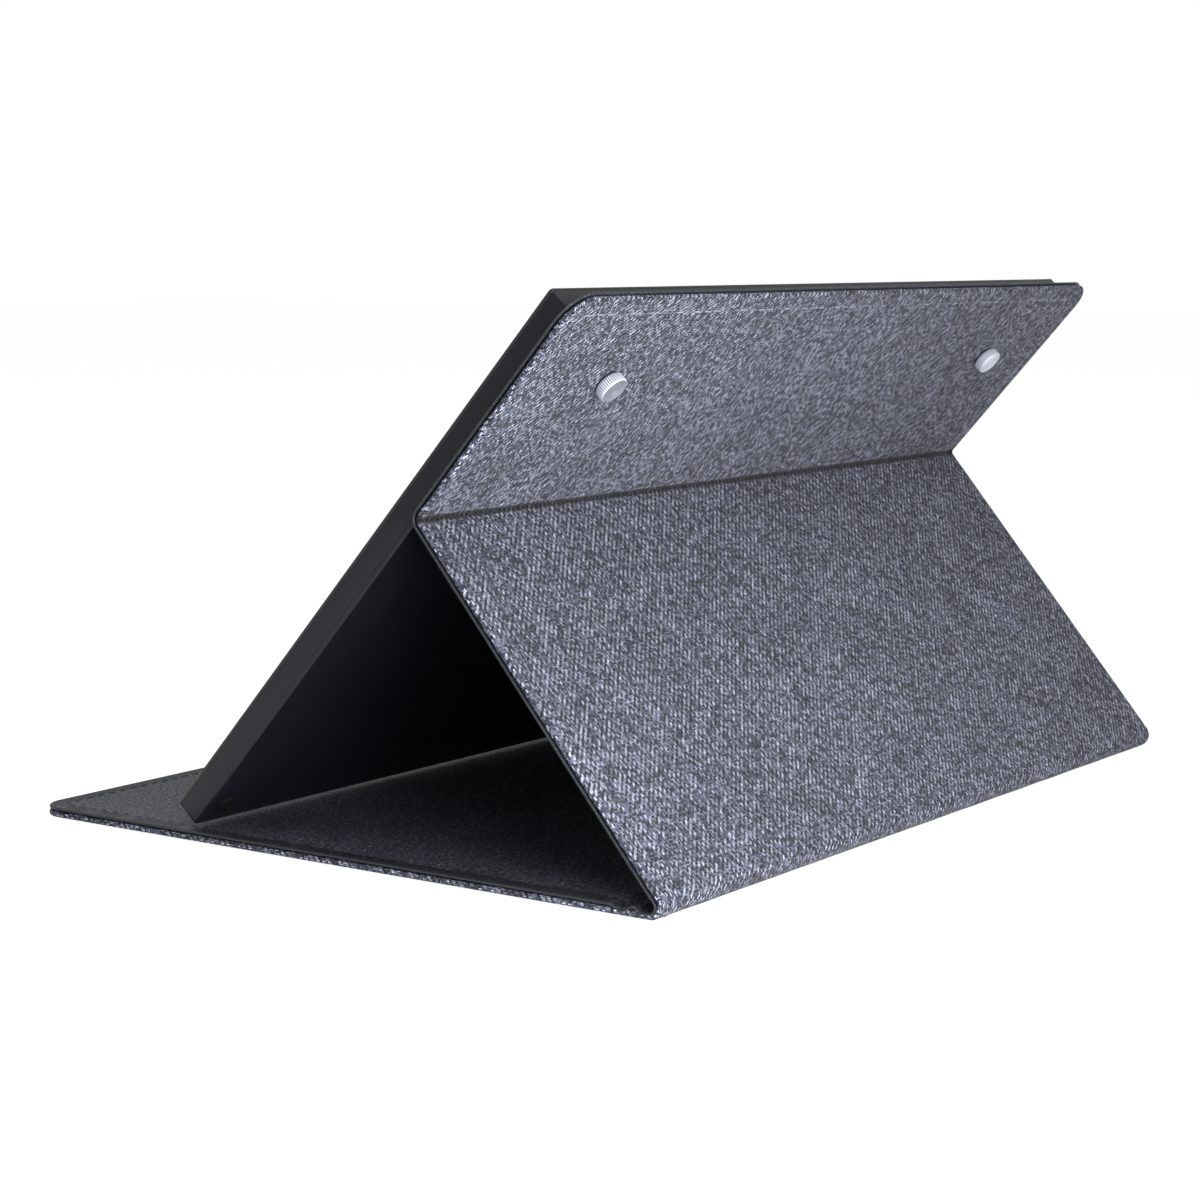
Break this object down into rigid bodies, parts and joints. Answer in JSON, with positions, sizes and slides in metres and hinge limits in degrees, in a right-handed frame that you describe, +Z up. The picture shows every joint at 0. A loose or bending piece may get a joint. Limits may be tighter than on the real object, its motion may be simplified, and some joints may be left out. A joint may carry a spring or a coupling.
{
  "type": "tablet folio stand case",
  "caption": "Fabric folio case that folds into a tent stand and holds a tablet in a hard tray fixed by knurled thumbscrews.",
  "frame": {"origin": "middle of the open case's footprint, on the surface it stands on", "axes": "+X along the folds, +Y from the user to the rear, +Z up"},
  "size_m": [0.3, 0.2288, 0.1599],
  "materials": {
    "cover_fabric": "grey melange woven cloth, matte",
    "stiffener_board": "greyboard, matte",
    "lining_leatherette": "black pebbled leatherette, semi-matt",
    "magnet_steel": "nickel-plated magnet",
    "keeper_steel": "plain steel strip",
    "tray_plastic": "fine-textured dark blue-grey plastic",
    "bezel_plastic": "satin black plastic",
    "liner_felt": "charcoal felt",
    "pad_rubber": "soft black rubber",
    "insert_brass": "turned brass",
    "washer_nylon": "black nylon",
    "screw_aluminium": "bright turned and knurled aluminium"
  },
  "bodies": {
    "base": {"base_fabric": "cover_fabric", "base_board": "stiffener_board", "base_lining": "lining_leatherette", "spine_fabric": "cover_fabric", "spine_lining": "lining_leatherette", "seat_magnets": "magnet_steel", "closure_magnets": "magnet_steel"},
    "strut": {"strut_fabric": "cover_fabric", "strut_board": "stiffener_board", "strut_lining": "lining_leatherette"},
    "tray": {"flap_fabric": "cover_fabric", "flap_board": "stiffener_board", "flap_lining": "lining_leatherette", "tray_back": "tray_plastic", "tray_frame": "tray_plastic", "front_bezel": "bezel_plastic", "felt_liner": "liner_felt", "corner_pads": "pad_rubber", "rubber_feet": "pad_rubber", "threaded_inserts": "insert_brass", "tray_magnets": "magnet_steel", "closure_keepers": "keeper_steel"},
    "washer_left": {"washer_left": "washer_nylon"},
    "thumbscrew_left": {"thumbscrew_left": "screw_aluminium"},
    "washer_right": {"washer_right": "washer_nylon"},
    "thumbscrew_right": {"thumbscrew_right": "screw_aluminium"}
  },
  "joints": [
    {"name": "rear_fold", "type": "hinge", "parent": "base", "child": "strut", "pos_m": [0, 0.11491, 0.00189], "axis": [-1, 0, 0], "range_deg": [0, 128.11], "deforming": ["spine_fabric", "spine_lining"]},
    {"name": "middle_fold", "type": "hinge", "parent": "strut", "child": "tray", "pos_m": [0, 0.03618, 0.09827], "axis": [1, 0, 0], "range_deg": [0, 81.31]},
    {"name": "left_screw_lift", "type": "slide", "parent": "tray", "child": "washer_left", "axis": [0, 0.7431, -0.6691], "range_m": [0, 0.0035]},
    {"name": "left_screw_turn", "type": "hinge", "parent": "washer_left", "child": "thumbscrew_left", "pos_m": [-0.1095, 0.069, 0.13398], "axis": [0, 0.7431, -0.6691], "range_deg": [0, 2520.1]},
    {"name": "right_screw_lift", "type": "slide", "parent": "tray", "child": "washer_right", "axis": [0, 0.7431, -0.6691], "range_m": [0, 0.0035]},
    {"name": "right_screw_turn", "type": "hinge", "parent": "washer_right", "child": "thumbscrew_right", "pos_m": [0.1095, 0.069, 0.13398], "axis": [0, 0.7431, -0.6691], "range_deg": [0, 2520.1]}
  ],
  "couplings": [
    {"joint": "middle_fold", "follows": "rear_fold", "ratio": 0.6347},
    {"joint": "left_screw_turn", "follows": "left_screw_lift", "rad_per_m": 12566},
    {"joint": "right_screw_turn", "follows": "right_screw_lift", "rad_per_m": 12566}
  ]
}
